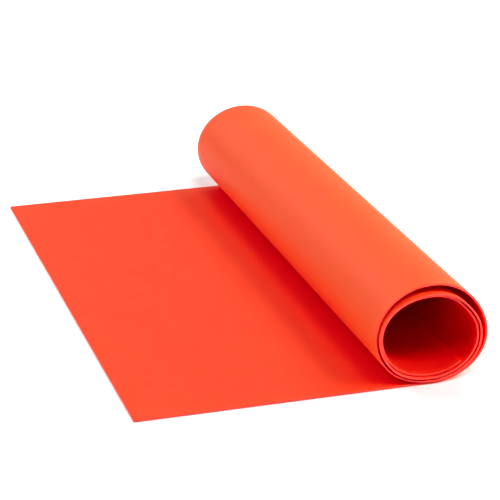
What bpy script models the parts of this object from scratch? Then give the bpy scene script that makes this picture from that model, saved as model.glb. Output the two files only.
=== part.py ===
# Craft foam sheet, partly rolled: one plain sheet of closed-cell foam whose
# right part is wound into an oval roll, while its left part lies flat.
# Axes: X runs along the sheet from the free edge to the roll, Y runs across
# the sheet along the roll's axis, Z is up. The origin is the middle of the
# flat run's underside, on the floor.
import math

import bmesh
import bpy

# Sheet, laid out flat
SHEET_LENGTH = 1.150
SHEET_WIDTH = 0.600
SHEET_THICKNESS = 0.002

# Roll, measured over its outer turn: an oval that bulges out low on its right side
ROLL_WIDTH = 0.1060
ROLL_HEIGHT = 0.0950
LOW_RIGHT_BULGE = 0.0045

# Clear gaps between one turn and the next, by place around the roll
GAP_UNDER = 0.0003
GAP_RIGHT = 0.0040
GAP_UPPER_RIGHT = 0.0059
GAP_TOP = 0.0061
GAP_LEFT = 0.0010
GAP_UNDER_THIRD = 0.0012
GAP_RIGHT_THIRD = 0.0010
GAP_THIRD = 0.0004

# How far the wound part stands out sideways at the near end: the middle turn most
CREEP_MIDDLE = 0.0040
CREEP_INNER = 0.0003

# Winding angles in degrees, counted from the lowest point of the outer turn
TURN = 360.0
QUARTER_TURN = 90.0
UPPER_RIGHT_ANGLE = 135.0
DESCENT_START = 311.0
CREEP_START = 180.0
CREEP_TOP = 540.0
CREEP_STOP = 1080.0
INNER_END_ANGLE = 1119.5
STEP_ANGLE = 2.5

# Foam surface
FOAM_COLOUR = (0.90, 0.055, 0.025, 1.0)
FOAM_ROUGHNESS = 0.75
SHARP_EDGE_ANGLE = 40.0


def ease(low, high, fraction):
    """Value between low and high, level at both ends of the run."""
    share = min(max(fraction, 0.0), 1.0)
    return low + (high - low) * 0.5 * (1.0 - math.cos(math.pi * share))


def gap_at(angle):
    """Clear gap between the turn at this winding angle and the turn outside it."""
    stations = [
        (TURN, GAP_UNDER),
        (TURN + QUARTER_TURN, GAP_RIGHT),
        (TURN + UPPER_RIGHT_ANGLE, GAP_UPPER_RIGHT),
        (TURN + QUARTER_TURN * 2, GAP_TOP),
        (TURN + QUARTER_TURN * 3, GAP_LEFT),
        (TURN * 2, GAP_UNDER_THIRD),
        (TURN * 2 + QUARTER_TURN, GAP_RIGHT_THIRD),
        (TURN * 2 + QUARTER_TURN * 2, GAP_THIRD),
    ]
    for (start, first), (stop, last) in zip(stations, stations[1:]):
        if angle <= stop:
            return ease(first, last, (angle - start) / (stop - start))
    return GAP_THIRD


def inset_at(angle):
    """Distance of the turn's middle surface inside the outer oval."""
    if angle <= DESCENT_START:
        return 0.0
    if angle <= TURN:
        landed = SHEET_THICKNESS + GAP_UNDER
        return ease(0.0, landed, (angle - DESCENT_START) / (TURN - DESCENT_START))
    return inset_at(angle - TURN) + SHEET_THICKNESS + gap_at(angle)


def winding_point(angle):
    """Point of the middle surface at a winding angle in degrees."""
    half_width = ROLL_WIDTH / 2 - SHEET_THICKNESS / 2
    half_height = ROLL_HEIGHT / 2 - SHEET_THICKNESS / 2
    inset = inset_at(angle)
    turned = math.radians(angle)
    rightward = max(math.sin(turned), 0.0)
    bulge = LOW_RIGHT_BULGE * rightward ** 2 * math.cos(turned)
    x = (half_width - inset) * math.sin(turned) + bulge
    z = ROLL_HEIGHT / 2 - (half_height - inset) * math.cos(turned)
    return x, z


def creep_at(angle):
    """Distance by which the turn stands out at the near end."""
    if angle <= CREEP_TOP:
        return ease(0.0, CREEP_MIDDLE, (angle - CREEP_START) / (CREEP_TOP - CREEP_START))
    return ease(CREEP_MIDDLE, CREEP_INNER, (angle - CREEP_TOP) / (CREEP_STOP - CREEP_TOP))


def middle_line():
    """Middle surface in section, from the free edge to the inner end, with creep."""
    count = math.ceil(INNER_END_ANGLE / STEP_ANGLE)
    angles = [INNER_END_ANGLE * k / count for k in range(count + 1)]
    winding = [winding_point(angle) for angle in angles]
    wound = sum(math.dist(a, b) for a, b in zip(winding, winding[1:]))
    flat_run = SHEET_LENGTH - wound
    points = [(-flat_run / 2, SHEET_THICKNESS / 2)]
    points += [(x + flat_run / 2, z) for x, z in winding]
    creeps = [0.0] + [creep_at(angle) for angle in angles]
    return points, creeps


def unit_normals(points):
    """Unit normals of the middle line, pointing to the sheet's upper face."""
    normals = []
    last = len(points) - 1
    for k in range(len(points)):
        before = points[max(k - 1, 0)]
        after = points[min(k + 1, last)]
        along_x = after[0] - before[0]
        along_z = after[1] - before[1]
        length = math.hypot(along_x, along_z)
        normals.append((-along_z / length, along_x / length))
    normals[0] = (0.0, 1.0)
    normals[1] = (0.0, 1.0)
    return normals


def build_sheet():
    """The whole sheet as one closed solid."""
    points, creeps = middle_line()
    normals = unit_normals(points)
    half = SHEET_THICKNESS / 2
    edge = SHEET_WIDTH / 2
    mesh = bmesh.new()
    rings = []
    for (x, z), (nx, nz), creep in zip(points, normals, creeps):
        lower = (x - nx * half, z - nz * half)
        upper = (x + nx * half, z + nz * half)
        near = -edge - creep
        far = edge - creep
        corners = [
            (lower[0], near, lower[1]),
            (upper[0], near, upper[1]),
            (upper[0], far, upper[1]),
            (lower[0], far, lower[1]),
        ]
        rings.append([mesh.verts.new(corner) for corner in corners])
    for first, second in zip(rings, rings[1:]):
        for k in range(4):
            after = (k + 1) % 4
            mesh.faces.new((first[k], second[k], second[after], first[after]))
    mesh.faces.new(rings[0])
    mesh.faces.new(list(reversed(rings[-1])))
    bmesh.ops.triangulate(mesh, faces=mesh.faces[:])
    bmesh.ops.recalc_face_normals(mesh, faces=mesh.faces[:])
    data = bpy.data.meshes.new("foam_sheet")
    mesh.to_mesh(data)
    mesh.free()
    sheet = bpy.data.objects.new("foam_sheet", data)
    bpy.context.scene.collection.objects.link(sheet)
    data.shade_smooth()
    data.set_sharp_from_angle(angle=math.radians(SHARP_EDGE_ANGLE))
    return sheet


def foam_material():
    """Matte coloured foam."""
    material = bpy.data.materials.new("foam")
    material.use_nodes = True
    shader = material.node_tree.nodes["Principled BSDF"]
    shader.inputs["Base Color"].default_value = FOAM_COLOUR
    shader.inputs["Roughness"].default_value = FOAM_ROUGHNESS
    return material


for leftover in list(bpy.data.objects):
    bpy.data.objects.remove(leftover, do_unlink=True)

foam_sheet = build_sheet()
foam_sheet.data.materials.append(foam_material())
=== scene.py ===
# Looks of a partly rolled craft foam sheet: one flat cut of closed-cell foam,
# made as a flat slab and rolled up along its section, on a plain pale floor.
# X runs from the free edge to the roll, Y along the roll to its far end, Z is up.
import math

import bpy
from mathutils import Matrix, Vector


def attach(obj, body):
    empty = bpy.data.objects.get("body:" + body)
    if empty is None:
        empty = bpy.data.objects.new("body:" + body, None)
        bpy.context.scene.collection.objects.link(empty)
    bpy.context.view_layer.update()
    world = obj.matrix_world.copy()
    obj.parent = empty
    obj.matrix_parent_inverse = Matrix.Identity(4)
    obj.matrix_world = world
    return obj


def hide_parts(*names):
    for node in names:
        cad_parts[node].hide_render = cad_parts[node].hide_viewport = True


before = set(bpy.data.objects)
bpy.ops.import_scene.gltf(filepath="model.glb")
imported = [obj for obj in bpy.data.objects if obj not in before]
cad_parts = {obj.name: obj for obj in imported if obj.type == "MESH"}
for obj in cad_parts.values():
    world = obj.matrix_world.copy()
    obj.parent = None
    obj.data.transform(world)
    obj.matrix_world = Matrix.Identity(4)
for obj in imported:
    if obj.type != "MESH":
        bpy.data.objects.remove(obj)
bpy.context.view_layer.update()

# Cut size of the sheet, laid out flat
SHEET_LENGTH = 1.150
SHEET_WIDTH = 0.600
SHEET_THICKNESS = 0.002

# Roll, measured over its outer turn: an oval that bulges out low on its right side
ROLL_WIDTH = 0.1060
ROLL_HEIGHT = 0.0950
LOW_RIGHT_BULGE = 0.0045

# Clear gaps between one turn and the next, by place around the roll
GAP_UNDER = 0.0003
GAP_RIGHT = 0.0040
GAP_UPPER_RIGHT = 0.0059
GAP_TOP = 0.0061
GAP_LEFT = 0.0010
GAP_UNDER_THIRD = 0.0012
GAP_RIGHT_THIRD = 0.0010
GAP_THIRD = 0.0004

# How far the wound part stands out sideways at the near end: the middle turn most
CREEP_MIDDLE = 0.0040
CREEP_INNER = 0.0003

# Winding angles in degrees, counted from the lowest point of the outer turn
TURN = 360.0
QUARTER_TURN = 90.0
UPPER_RIGHT_ANGLE = 135.0
DESCENT_START = 311.0
CREEP_START = 180.0
CREEP_TOP = 540.0
CREEP_STOP = 1080.0
INNER_END_ANGLE = 1119.5
STEP_ANGLE = 1.0

# Mesh of the sheet: cells along and across, how near points join, and the soft rim
CELLS_ALONG = 575
CELLS_ACROSS = 48
SEAM_REACH = 0.00001
RIM_RADIUS = 0.00025
RIM_STEPS = 2
RIM_ANGLE = 40.0

# Foam colours and finish; the two underside reds carry painted light
UPPER_RED = (0.95, 0.055, 0.001)
UPPER_RED_PALE = (0.96, 0.066, 0.003)
# Underside reds, paler and more orange than the upper ones: painted light for the more brightly lit
# roll
UNDER_RED_WITH_PAINTED_LIGHT = (0.96, 0.106, 0.012)
UNDER_RED_PALE_WITH_PAINTED_LIGHT = (0.96, 0.120, 0.016)
CUT_RED = (0.96, 0.105, 0.080)
FOAM_ROUGHNESS = 0.60
ROUGHNESS_SPREAD = 0.04
CUT_ROUGHNESS = 0.85
FOAM_GLOSS = 0.93
FOAM_GLOW = 0.6
GLOW_DEPTH = 0.004
GLOW_RADIUS = (1.0, 0.06, 0.03)

# Patterns in the foam: how close they are, their finer layers, and the grain's relief
CLOUDS = 14.0
CLOUD_DETAIL = 3.0
PATCHES = 60.0
GRAINS = 2600.0
CUT_CELLS = 3500.0
FINE_DETAIL = 2.0
RELIEF_STRENGTH = 0.25
RELIEF_DEPTH = 0.0002

# Camera: the point it aims at, its distance, three angles in degrees, and its lens
CAMERA_AIM = (0.05555, -0.00360, 0.03322)
CAMERA_DISTANCE = 2.0367
CAMERA_AZIMUTH = 16.195
CAMERA_ELEVATION = 19.918
CAMERA_ROLL = -0.633
CAMERA_LENS = 145.76
CAMERA_SENSOR = 36.0

# Floor and studio
FLOOR_SIZE = 24.0
FLOOR_DROP = 0.0002
FLOOR_WHITE = (0.97, 0.97, 0.97)
FLOOR_ROUGHNESS = 0.9
FLOOR_GLOSS = 0.1
ROOM_LIGHT = 0.06

# Soft lights: name, then direction, height and softness in degrees, then strength
SOFT_LIGHTS = (
    ("right low", 90.0, 15.0, 28.0, 1.95),
    ("right front", 45.0, 50.0, 16.0, 0.90),
    ("left low", 270.0, 12.0, 28.0, 0.50),
    ("front", 0.0, 56.0, 16.0, 0.82),
    ("left back", 225.0, 40.0, 28.0, 0.80),
    ("right back", 135.0, 42.0, 28.0, 0.46),
    ("back", 180.0, 32.0, 28.0, 0.17),
)

# Green that the camera's view gives for each green it meets: less of it in the shade
GREEN_CURVE = (
    (0.020, 0.0),
    (0.037, 0.016),
    (0.056, 0.050),
    (0.075, 0.078),
    (0.1, 0.104),
    (0.2, 0.2),
)

# Places of both ends and of the result among a mix node's sockets, by kind of value
MIX_SOCKETS = {"FLOAT": (2, 3, 0), "RGBA": (6, 7, 2)}


def ease(low, high, fraction):
    """Value between low and high, which starts and ends without a kink."""
    share = min(max(fraction, 0.0), 1.0)
    return low + (high - low) * 0.5 * (1.0 - math.cos(math.pi * share))


def gap_at(angle):
    """Clear gap between the turn at this winding angle and the turn outside it."""
    stations = [
        (TURN, GAP_UNDER),
        (TURN + QUARTER_TURN, GAP_RIGHT),
        (TURN + UPPER_RIGHT_ANGLE, GAP_UPPER_RIGHT),
        (TURN + QUARTER_TURN * 2, GAP_TOP),
        (TURN + QUARTER_TURN * 3, GAP_LEFT),
        (TURN * 2, GAP_UNDER_THIRD),
        (TURN * 2 + QUARTER_TURN, GAP_RIGHT_THIRD),
        (TURN * 2 + QUARTER_TURN * 2, GAP_THIRD),
    ]
    for (start, first), (stop, last) in zip(stations, stations[1:]):
        if angle <= stop:
            return ease(first, last, (angle - start) / (stop - start))
    return GAP_THIRD


def inset_at(angle):
    """Distance of the turn's middle surface inside the outer oval."""
    if angle <= DESCENT_START:
        return 0.0
    if angle <= TURN:
        landed = SHEET_THICKNESS + GAP_UNDER
        return ease(0.0, landed, (angle - DESCENT_START) / (TURN - DESCENT_START))
    return inset_at(angle - TURN) + SHEET_THICKNESS + gap_at(angle)


def winding_point(angle):
    """Point of the middle surface at a winding angle in degrees."""
    half_width = ROLL_WIDTH / 2 - SHEET_THICKNESS / 2
    half_height = ROLL_HEIGHT / 2 - SHEET_THICKNESS / 2
    inset = inset_at(angle)
    turned = math.radians(angle)
    rightward = max(math.sin(turned), 0.0)
    bulge = LOW_RIGHT_BULGE * rightward ** 2 * math.cos(turned)
    x = (half_width - inset) * math.sin(turned) + bulge
    z = ROLL_HEIGHT / 2 - (half_height - inset) * math.cos(turned)
    return x, z


def creep_at(angle):
    """Distance by which the turn stands out at the near end."""
    if angle <= CREEP_TOP:
        return ease(0.0, CREEP_MIDDLE, (angle - CREEP_START) / (CREEP_TOP - CREEP_START))
    return ease(CREEP_MIDDLE, CREEP_INNER, (angle - CREEP_TOP) / (CREEP_STOP - CREEP_TOP))


def section_line():
    """The sheet's middle line in section, from the free edge to the inner end, with
    how far the turn stands out at each point."""
    count = math.ceil(INNER_END_ANGLE / STEP_ANGLE)
    angles = [INNER_END_ANGLE * k / count for k in range(count + 1)]
    winding = [winding_point(angle) for angle in angles]
    wound = sum(math.dist(a, b) for a, b in zip(winding, winding[1:]))
    flat_run = SHEET_LENGTH - wound
    points = [(-flat_run / 2, 0.0, SHEET_THICKNESS / 2)]
    points += [(x + flat_run / 2, 0.0, z) for x, z in winding]
    creeps = [0.0] + [creep_at(angle) for angle in angles]
    data = bpy.data.meshes.new("rolled_foam_sheet")
    data.from_pydata(points, [(k, k + 1) for k in range(len(points) - 1)], [])
    data.attributes.new("creep", "FLOAT", "POINT").data.foreach_set("value", creeps)
    line = bpy.data.objects.new("rolled_foam_sheet", data)
    bpy.context.scene.collection.objects.link(line)
    return line


class Tree:
    """A node tree that is built call by call, with sockets found by name or place."""

    def __init__(self, node_tree):
        self.tree = node_tree

    def add(self, kind, inputs=None, **settings):
        """A new node of this kind, with its settings and inputs given."""
        node = self.tree.nodes.new(kind)
        for name, value in settings.items():
            setattr(node, name, value)
        for name, value in (inputs or {}).items():
            self.feed(node.inputs[name], value)
        return node

    def feed(self, socket, value):
        """Gives a socket a plain value, or links it to another node's output."""
        if isinstance(value, bpy.types.NodeSocket):
            self.tree.links.new(value, socket)
        else:
            socket.default_value = value

    def maths(self, operation, first, second):
        """Result of a sum with two numbers."""
        node = self.add("ShaderNodeMath", operation=operation)
        self.feed(node.inputs[0], first)
        self.feed(node.inputs[1], second)
        return node.outputs[0]

    def vector(self, operation, first, second=None, scale=None):
        """Result of a sum with one or two vectors."""
        node = self.add("ShaderNodeVectorMath", operation=operation)
        self.feed(node.inputs[0], first)
        if second is not None:
            self.feed(node.inputs[1], second)
        if scale is not None:
            self.feed(node.inputs["Scale"], scale)
        return node.outputs[0]

    def mix(self, kind, factor, first, second):
        """Blend from the first to the second of two values or two colours."""
        low, high, result = MIX_SOCKETS[kind]
        node = self.add("ShaderNodeMix", {"Factor": factor}, data_type=kind)
        self.feed(node.inputs[low], first)
        self.feed(node.inputs[high], second)
        return node.outputs[result]


def roll_up_tree():
    """Geometry Nodes that cut a flat slab and roll it along the line it is given."""
    tree = bpy.data.node_groups.new("roll_up_foam_sheet", "GeometryNodeTree")
    face = tree.interface
    face.new_socket("Section line", in_out="INPUT", socket_type="NodeSocketGeometry")
    for name, value in (
        ("Sheet length", SHEET_LENGTH),
        ("Sheet width", SHEET_WIDTH),
        ("Sheet thickness", SHEET_THICKNESS),
    ):
        face.new_socket(name, in_out="INPUT", socket_type="NodeSocketFloat").default_value = value
    for name, value in (("Cells along", CELLS_ALONG), ("Cells across", CELLS_ACROSS)):
        face.new_socket(name, in_out="INPUT", socket_type="NodeSocketInt").default_value = value
    face.new_socket("Foam", in_out="INPUT", socket_type="NodeSocketMaterial")
    face.new_socket("Sheet", in_out="OUTPUT", socket_type="NodeSocketGeometry")

    t = Tree(tree)
    given = t.add("NodeGroupInput").outputs
    result = t.add("NodeGroupOutput")

    # Flat slab: a grid, thickened upwards, closed by the same grid turned over
    grid = t.add("GeometryNodeMeshGrid", {
        "Size X": given["Sheet length"],
        "Size Y": given["Sheet width"],
        "Vertices X": t.maths("ADD", given["Cells along"], 1.0),
        "Vertices Y": t.maths("ADD", given["Cells across"], 1.0),
    }).outputs["Mesh"]
    up = t.add("ShaderNodeCombineXYZ", {"Z": 1.0}).outputs[0]
    lifted = t.add("GeometryNodeExtrudeMesh", {
        "Mesh": grid,
        "Offset": up,
        "Offset Scale": given["Sheet thickness"],
        "Individual": False,
    }, mode="FACES")
    sides = t.add("GeometryNodeStoreNamedAttribute", {
        "Geometry": lifted.outputs["Mesh"],
        "Name": "cut",
        "Value": lifted.outputs["Side"],
    }, data_type="FLOAT", domain="FACE").outputs["Geometry"]
    under = t.add("GeometryNodeFlipFaces", {"Mesh": grid}).outputs["Mesh"]
    joined = t.add("GeometryNodeJoinGeometry")
    tree.links.new(under, joined.inputs["Geometry"])
    tree.links.new(sides, joined.inputs["Geometry"])
    slab = t.add("GeometryNodeMergeByDistance", {
        "Geometry": joined.outputs[0],
        "Distance": SEAM_REACH,
    }).outputs["Geometry"]

    # Place of each point in the foam as it lies flat, kept for the finish
    place = t.add("GeometryNodeInputPosition").outputs[0]
    slab = t.add("GeometryNodeStoreNamedAttribute", {
        "Geometry": slab,
        "Name": "flat_place",
        "Value": place,
    }, data_type="FLOAT_VECTOR", domain="POINT").outputs["Geometry"]
    flat = t.add("ShaderNodeSeparateXYZ", {"Vector": place}).outputs
    along = t.maths("ADD", flat["X"], t.maths("MULTIPLY", given["Sheet length"], 0.5))
    height = t.maths("SUBTRACT", flat["Z"], t.maths("MULTIPLY", given["Sheet thickness"], 0.5))

    # The line's place and direction at this length of foam, and how far the turn stands out
    curve = t.add("GeometryNodeMeshToCurve", {"Mesh": given["Section line"]}).outputs["Curve"]
    creep_named = t.add("GeometryNodeInputNamedAttribute", {"Name": "creep"}, data_type="FLOAT")
    sample = t.add("GeometryNodeSampleCurve", {
        "Curves": curve,
        "Value": creep_named.outputs["Attribute"],
        "Length": along,
    }, mode="LENGTH", data_type="FLOAT")
    tangent = sample.outputs["Tangent"]
    across = t.add("ShaderNodeCombineXYZ", {"Y": 1.0}).outputs[0]
    outward = t.vector("NORMALIZE", t.vector("CROSS_PRODUCT", tangent, across))
    shifted = t.maths("SUBTRACT", flat["Y"], sample.outputs["Value"])
    sideways = t.add("ShaderNodeCombineXYZ", {"Y": shifted}).outputs[0]
    rolled = t.vector("ADD", sample.outputs["Position"], t.vector("SCALE", outward, scale=height))
    rolled = t.vector("ADD", rolled, sideways)

    moved = t.add("GeometryNodeSetPosition", {
        "Geometry": slab,
        "Position": rolled,
    }).outputs["Geometry"]
    smooth = t.add("GeometryNodeSetShadeSmooth", {"Geometry": moved}).outputs["Geometry"]
    real = t.add("GeometryNodeRealizeInstances", {"Geometry": smooth}).outputs["Geometry"]
    painted = t.add("GeometryNodeSetMaterial", {"Geometry": real, "Material": given["Foam"]})
    tree.links.new(painted.outputs["Geometry"], result.inputs["Sheet"])
    return tree


def set_inputs(modifier, values):
    """Gives a Geometry Nodes modifier its values, by the sockets' identifiers."""
    for item in modifier.node_group.interface.items_tree:
        if item.item_type == "SOCKET" and item.in_out == "INPUT" and item.name in values:
            modifier[item.identifier] = values[item.name]


def rolled_foam_sheet(material):
    """The whole sheet as one closed mesh, rolled up and with its rim softened."""
    piece = section_line()
    nodes = piece.modifiers.new("Roll up", "NODES")
    nodes.node_group = roll_up_tree()
    set_inputs(nodes, {
        "Sheet length": SHEET_LENGTH,
        "Sheet width": SHEET_WIDTH,
        "Sheet thickness": SHEET_THICKNESS,
        "Cells along": CELLS_ALONG,
        "Cells across": CELLS_ACROSS,
        "Foam": material,
    })
    rim = piece.modifiers.new("Rim", "BEVEL")
    rim.limit_method = "ANGLE"
    rim.angle_limit = math.radians(RIM_ANGLE)
    rim.width = RIM_RADIUS
    rim.segments = RIM_STEPS
    evaluated = piece.evaluated_get(bpy.context.evaluated_depsgraph_get())
    mesh = bpy.data.meshes.new_from_object(evaluated)
    piece.modifiers.clear()
    line = piece.data
    piece.data = mesh
    bpy.data.meshes.remove(line)
    mesh.name = piece.name
    return piece


def foam_material():
    """Closed-cell foam: a fine matte skin, and open cells on the cut edges."""
    material = bpy.data.materials.new("craft_foam")
    material.use_nodes = True
    t = Tree(material.node_tree)
    shader = material.node_tree.nodes["Principled BSDF"]
    place = t.add("ShaderNodeAttribute", attribute_name="flat_place").outputs["Vector"]
    cut = t.add("ShaderNodeAttribute", attribute_name="cut").outputs["Fac"]

    # Two faces of slightly different red, each with a broad, faint unevenness; the underside's
    # paler, more orange red is painted light, which makes the roll's outer turn look more brightly
    # lit than the flat run
    cloud = t.add("ShaderNodeTexNoise", {
        "Vector": place,
        "Scale": CLOUDS,
        "Detail": CLOUD_DETAIL,
    }).outputs["Fac"]
    upper = t.mix("RGBA", cloud, (*UPPER_RED, 1.0), (*UPPER_RED_PALE, 1.0))
    # The underside colour holds painted light
    under = t.mix("RGBA", cloud, (*UNDER_RED_WITH_PAINTED_LIGHT, 1.0), (*UNDER_RED_PALE_WITH_PAINTED_LIGHT, 1.0))
    height = t.add("ShaderNodeSeparateXYZ", {"Vector": place}).outputs["Z"]
    face = t.add("ShaderNodeMapRange", {
        "Value": height,
        "From Max": SHEET_THICKNESS,
    }).outputs["Result"]
    # Both faces together, the underside with its painted light
    skin = t.mix("RGBA", face, under, upper)
    t.feed(shader.inputs["Base Color"], t.mix("RGBA", cut, skin, (*CUT_RED, 1.0)))

    # Fine grain of the skin, and the cells that a cut opens
    grain = t.add("ShaderNodeTexNoise", {
        "Vector": place,
        "Scale": GRAINS,
        "Detail": FINE_DETAIL,
    }).outputs["Fac"]
    cells = t.add("ShaderNodeTexVoronoi", {"Vector": place, "Scale": CUT_CELLS}).outputs["Distance"]
    bump = t.add("ShaderNodeBump", {
        "Strength": RELIEF_STRENGTH,
        "Distance": RELIEF_DEPTH,
        "Height": t.mix("FLOAT", cut, grain, cells),
    })
    t.feed(shader.inputs["Normal"], bump.outputs["Normal"])

    patch = t.add("ShaderNodeTexNoise", {
        "Vector": place,
        "Scale": PATCHES,
        "Detail": FINE_DETAIL,
    }).outputs["Fac"]
    rough = t.add("ShaderNodeMapRange", {
        "Value": patch,
        "To Min": FOAM_ROUGHNESS - ROUGHNESS_SPREAD,
        "To Max": FOAM_ROUGHNESS + ROUGHNESS_SPREAD,
    }).outputs["Result"]
    t.feed(shader.inputs["Roughness"], t.mix("FLOAT", cut, rough, CUT_ROUGHNESS))
    shader.inputs["Specular IOR Level"].default_value = FOAM_GLOSS

    # Thin foam lets a little red light through
    shader.inputs["Subsurface Weight"].default_value = FOAM_GLOW
    shader.inputs["Subsurface Radius"].default_value = GLOW_RADIUS
    shader.inputs["Subsurface Scale"].default_value = GLOW_DEPTH
    return material


def pale_floor():
    """Plain pale floor under the sheet."""
    half = FLOOR_SIZE / 2
    corners = [(-half, -half), (half, -half), (half, half), (-half, half)]
    data = bpy.data.meshes.new("floor")
    data.from_pydata([(x, y, -FLOOR_DROP) for x, y in corners], [], [(0, 1, 2, 3)])
    floor = bpy.data.objects.new("floor", data)
    bpy.context.scene.collection.objects.link(floor)
    paint = bpy.data.materials.new("pale_floor")
    paint.use_nodes = True
    shader = paint.node_tree.nodes["Principled BSDF"]
    shader.inputs["Base Color"].default_value = (*FLOOR_WHITE, 1.0)
    shader.inputs["Roughness"].default_value = FLOOR_ROUGHNESS
    shader.inputs["Specular IOR Level"].default_value = FLOOR_GLOSS
    data.materials.append(paint)


def soft_light(name, azimuth, elevation, softness, strength):
    """Soft, even studio light from one side of the dome over the sheet."""
    turned = math.radians(azimuth)
    raised = math.radians(elevation)
    away = Vector((
        math.sin(turned) * math.cos(raised),
        -math.cos(turned) * math.cos(raised),
        math.sin(raised),
    ))
    data = bpy.data.lights.new(name, "SUN")
    data.angle = math.radians(softness)
    data.energy = strength
    lamp = bpy.data.objects.new(name, data)
    bpy.context.scene.collection.objects.link(lamp)
    lamp.rotation_mode = "QUATERNION"
    lamp.rotation_quaternion = (-away).to_track_quat("-Z", "Y")


def studio():
    """Soft light from all round and above, in a dim room."""
    world = bpy.data.worlds.new("studio")
    world.use_nodes = True
    back = world.node_tree.nodes["Background"]
    back.inputs["Color"].default_value = (1.0, 1.0, 1.0, 1.0)
    back.inputs["Strength"].default_value = ROOM_LIGHT
    bpy.context.scene.world = world
    for light in SOFT_LIGHTS:
        soft_light(*light)
    view = bpy.context.scene.view_settings
    view.view_transform = "Standard"
    view.look = "High Contrast"
    view.use_curve_mapping = True
    green = view.curve_mapping.curves[1]
    for before, after in GREEN_CURVE:
        green.points.new(before, after)
    for point in green.points:
        point.handle_type = "VECTOR"
    view.curve_mapping.update()


def photo_camera():
    """Camera at the height and angle of the photograph."""
    azimuth = math.radians(CAMERA_AZIMUTH)
    elevation = math.radians(CAMERA_ELEVATION)
    forward = Vector((
        math.sin(azimuth) * math.cos(elevation),
        math.cos(azimuth) * math.cos(elevation),
        -math.sin(elevation),
    ))
    level = Vector((math.cos(azimuth), -math.sin(azimuth), 0.0))
    roll = math.radians(CAMERA_ROLL)
    upright = level.cross(forward)
    right = level * math.cos(roll) + upright * math.sin(roll)
    up = upright * math.cos(roll) - level * math.sin(roll)
    data = bpy.data.cameras.new("camera")
    data.lens = CAMERA_LENS
    data.sensor_width = CAMERA_SENSOR
    camera = bpy.data.objects.new("camera", data)
    bpy.context.scene.collection.objects.link(camera)
    camera.matrix_world = Matrix((right, up, -forward)).transposed().to_4x4()
    camera.location = Vector(CAMERA_AIM) - forward * CAMERA_DISTANCE
    bpy.context.scene.camera = camera


sheet = rolled_foam_sheet(foam_material())
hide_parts("foam_sheet")
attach(sheet, "root")
pale_floor()
studio()
photo_camera()
